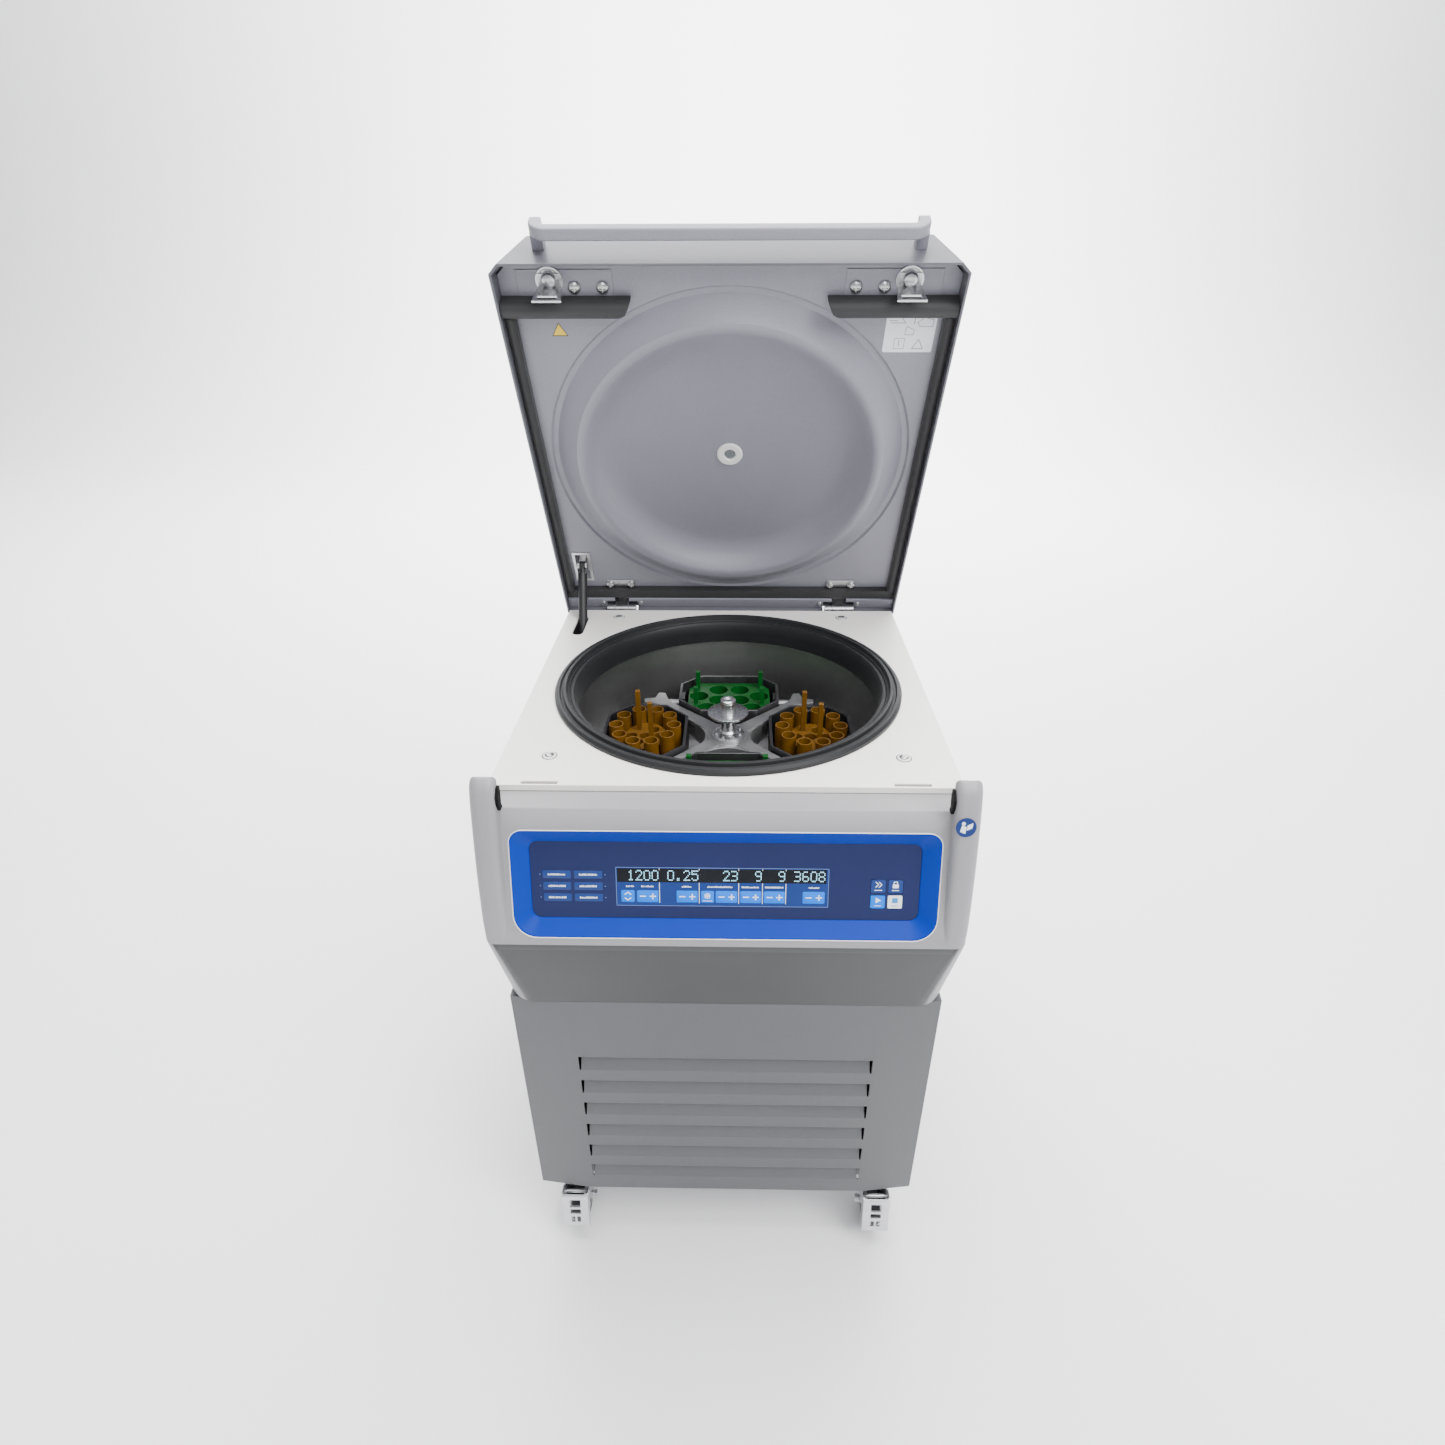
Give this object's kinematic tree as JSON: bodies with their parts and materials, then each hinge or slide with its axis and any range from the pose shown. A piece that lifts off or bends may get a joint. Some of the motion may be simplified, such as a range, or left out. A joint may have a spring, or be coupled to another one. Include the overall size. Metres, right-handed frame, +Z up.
{
  "type": "laboratory centrifuge",
  "caption": "Floor-standing refrigerated centrifuge on castors with a hinged lid, swing-out rotor, tube racks, front console and louvred base.",
  "frame": {"origin": "on the floor under the rotor axis, at the middle of the footprint", "axes": "+X to the user's right, +Y to the back, +Z up"},
  "size_m": [0.576, 0.704, 1.393],
  "materials": {
    "grey_paint": "satin",
    "lid_paint": "satin",
    "panel_paint": "satin",
    "deck_white": "satin",
    "console_plastic": "satin",
    "blue_plastic": "satin",
    "navy_film": "satin",
    "display_black": "gloss",
    "key_azure": "satin",
    "key_blue": "satin",
    "key_white": "satin",
    "black_rubber": "matte",
    "seal_rubber": "matte",
    "stainless": "brushed",
    "bowl_steel": "brushed",
    "zinc": "satin",
    "cast_alloy": "satin",
    "black_plastic": "matte",
    "amber_plastic": "satin",
    "green_plastic": "satin",
    "white_plastic": "satin",
    "window_glass": "clear",
    "tyre_grey": "matte",
    "iron_dark": "matte"
  },
  "bodies": {
    "cabinet": {"base_frame": "grey_paint", "castor_plates": "zinc", "side_panels": "grey_paint", "rear_panel": "grey_paint", "front_panel": "panel_paint", "front_console": "console_plastic", "console_seals": "black_rubber", "display_surround": "blue_plastic", "keypad_film": "navy_film", "display_module": "display_black", "top_deck": "deck_white", "deck_screws": "white_plastic", "chamber_seal": "seal_rubber", "chamber_bowl": "bowl_steel", "drive_motor": "iron_dark", "inner_frame": "iron_dark", "compressor": "iron_dark", "condenser": "cast_alloy", "latch_housings": "zinc", "mains_inlet": "black_plastic", "hinge_leaves_lower": "zinc"},
    "lid": {"lid_brackets": "zinc", "lid_shell": "lid_paint", "lid_panel": "lid_paint", "lid_handle": "lid_paint", "lid_seals": "black_rubber", "lid_screws": "stainless", "lid_strikers": "stainless", "lid_viewport": "white_plastic", "lid_window": "window_glass"},
    "strut_cylinder": {"strut_cylinder": "black_plastic"},
    "strut_rod": {"strut_rod": "stainless"},
    "rotor": {"rotor_cross": "cast_alloy", "rotor_hub": "stainless"},
    "bucket_rear": {"bucket_rear": "cast_alloy", "rack_rear": "green_plastic"},
    "bucket_left": {"bucket_left": "black_plastic", "rack_left": "amber_plastic"},
    "bucket_front": {"bucket_front": "cast_alloy", "rack_front": "green_plastic"},
    "bucket_right": {"bucket_right": "black_plastic", "rack_right": "amber_plastic"},
    "fork_front_left": {"fork_front_left": "zinc"},
    "wheel_front_left": {"wheel_front_left": "tyre_grey"},
    "fork_front_right": {"fork_front_right": "zinc"},
    "wheel_front_right": {"wheel_front_right": "tyre_grey"},
    "fork_rear_left": {"fork_rear_left": "zinc"},
    "wheel_rear_left": {"wheel_rear_left": "tyre_grey"},
    "fork_rear_right": {"fork_rear_right": "zinc"},
    "wheel_rear_right": {"wheel_rear_right": "tyre_grey"},
    "brake_pedal_front_left": {"brake_pedal_front_left": "zinc"},
    "brake_pedal_front_right": {"brake_pedal_front_right": "zinc"},
    "condenser_fan": {"condenser_fan": "black_plastic"},
    "latch_hook_left": {"latch_hook_left": "zinc"},
    "latch_hook_right": {"latch_hook_right": "zinc"},
    "mains_rocker": {"mains_rocker": "black_plastic"},
    "key_pulse": {"key_pulse": "key_blue"},
    "key_open": {"key_open": "key_blue"},
    "key_start": {"key_start": "key_azure"},
    "key_stop": {"key_stop": "key_white"}
  },
  "joints": [
    {"name": "lid_hinge", "type": "hinge", "parent": "cabinet", "child": "lid", "pos_m": [0, 0.293, 0.81], "axis": [1, 0, 0], "range_deg": [0, 64.3]},
    {"name": "strut_tilt", "type": "hinge", "parent": "lid", "child": "strut_cylinder", "pos_m": [-0.25, 0.27745, 0.89374], "axis": [1, 0, 0], "range_deg": [-54.4, 0]},
    {"name": "strut_stroke", "type": "slide", "parent": "strut_cylinder", "child": "strut_rod", "axis": [0, -0.4152, -0.9097], "range_m": [-0.0824, 0]},
    {"name": "rotor_spin", "type": "hinge", "parent": "cabinet", "child": "rotor", "pos_m": [0, 0, 0.712], "axis": [0, 0, 1], "continuous": true},
    {"name": "bucket_swing_rear", "type": "hinge", "parent": "rotor", "child": "bucket_rear", "pos_m": [0, 0.124, 0.712], "axis": [1, 0, 0], "range_deg": [0, 90]},
    {"name": "bucket_swing_left", "type": "hinge", "parent": "rotor", "child": "bucket_left", "pos_m": [-0.124, 0, 0.712], "axis": [0, 1, 0], "range_deg": [0, 90]},
    {"name": "bucket_swing_front", "type": "hinge", "parent": "rotor", "child": "bucket_front", "pos_m": [0, -0.124, 0.712], "axis": [-1, 0, 0], "range_deg": [0, 90]},
    {"name": "bucket_swing_right", "type": "hinge", "parent": "rotor", "child": "bucket_right", "pos_m": [0.124, 0, 0.712], "axis": [0, -1, 0], "range_deg": [0, 90]},
    {"name": "swivel_front_left", "type": "hinge", "parent": "cabinet", "child": "fork_front_left", "pos_m": [-0.23, -0.258, 0.102], "axis": [0, 0, 1], "continuous": true},
    {"name": "roll_front_left", "type": "hinge", "parent": "fork_front_left", "child": "wheel_front_left", "pos_m": [-0.23, -0.288, 0.0375], "axis": [1, 0, 0], "continuous": true},
    {"name": "brake_front_left", "type": "hinge", "parent": "fork_front_left", "child": "brake_pedal_front_left", "pos_m": [-0.23, -0.32, 0.096], "axis": [-1, 0, 0], "range_deg": [0, 20]},
    {"name": "swivel_front_right", "type": "hinge", "parent": "cabinet", "child": "fork_front_right", "pos_m": [0.23, -0.258, 0.102], "axis": [0, 0, 1], "continuous": true},
    {"name": "roll_front_right", "type": "hinge", "parent": "fork_front_right", "child": "wheel_front_right", "pos_m": [0.23, -0.288, 0.0375], "axis": [1, 0, 0], "continuous": true},
    {"name": "brake_front_right", "type": "hinge", "parent": "fork_front_right", "child": "brake_pedal_front_right", "pos_m": [0.23, -0.32, 0.096], "axis": [-1, 0, 0], "range_deg": [0, 20]},
    {"name": "swivel_rear_left", "type": "hinge", "parent": "cabinet", "child": "fork_rear_left", "pos_m": [-0.23, 0.27, 0.102], "axis": [0, 0, 1], "continuous": true},
    {"name": "roll_rear_left", "type": "hinge", "parent": "fork_rear_left", "child": "wheel_rear_left", "pos_m": [-0.23, 0.3, 0.0375], "axis": [1, 0, 0], "continuous": true},
    {"name": "swivel_rear_right", "type": "hinge", "parent": "cabinet", "child": "fork_rear_right", "pos_m": [0.23, 0.27, 0.102], "axis": [0, 0, 1], "continuous": true},
    {"name": "roll_rear_right", "type": "hinge", "parent": "fork_rear_right", "child": "wheel_rear_right", "pos_m": [0.23, 0.3, 0.0375], "axis": [1, 0, 0], "continuous": true},
    {"name": "fan_spin", "type": "hinge", "parent": "cabinet", "child": "condenser_fan", "pos_m": [0, -0.247, 0.28], "axis": [0, 1, 0], "continuous": true},
    {"name": "latch_left", "type": "hinge", "parent": "cabinet", "child": "latch_hook_left", "pos_m": [-0.2205, -0.256, 0.768], "axis": [1, 0, 0], "range_deg": [0, 25]},
    {"name": "latch_right", "type": "hinge", "parent": "cabinet", "child": "latch_hook_right", "pos_m": [0.2205, -0.256, 0.768], "axis": [1, 0, 0], "range_deg": [0, 25]},
    {"name": "mains_switch", "type": "hinge", "parent": "cabinet", "child": "mains_rocker", "pos_m": [-0.087, 0.333, 0.174], "axis": [-1, 0, 0], "range_deg": [0, 14]},
    {"name": "key_pulse_press", "type": "slide", "parent": "cabinet", "child": "key_pulse", "axis": [0, 0.969, -0.2471], "range_m": [0, 0.0005], "stiffness_N_per_m": 600},
    {"name": "key_open_press", "type": "slide", "parent": "cabinet", "child": "key_open", "axis": [0, 0.969, -0.2471], "range_m": [0, 0.0005], "stiffness_N_per_m": 600},
    {"name": "key_start_press", "type": "slide", "parent": "cabinet", "child": "key_start", "axis": [0, 0.969, -0.2471], "range_m": [0, 0.0005], "stiffness_N_per_m": 600},
    {"name": "key_stop_press", "type": "slide", "parent": "cabinet", "child": "key_stop", "axis": [0, 0.969, -0.2471], "range_m": [0, 0.0005], "stiffness_N_per_m": 600}
  ],
  "couplings": [
    {"joint": "strut_tilt", "follows": "lid_hinge", "ratio": -0.84331},
    {"joint": "strut_stroke", "follows": "lid_hinge", "m_per_rad": -0.07305}
  ]
}
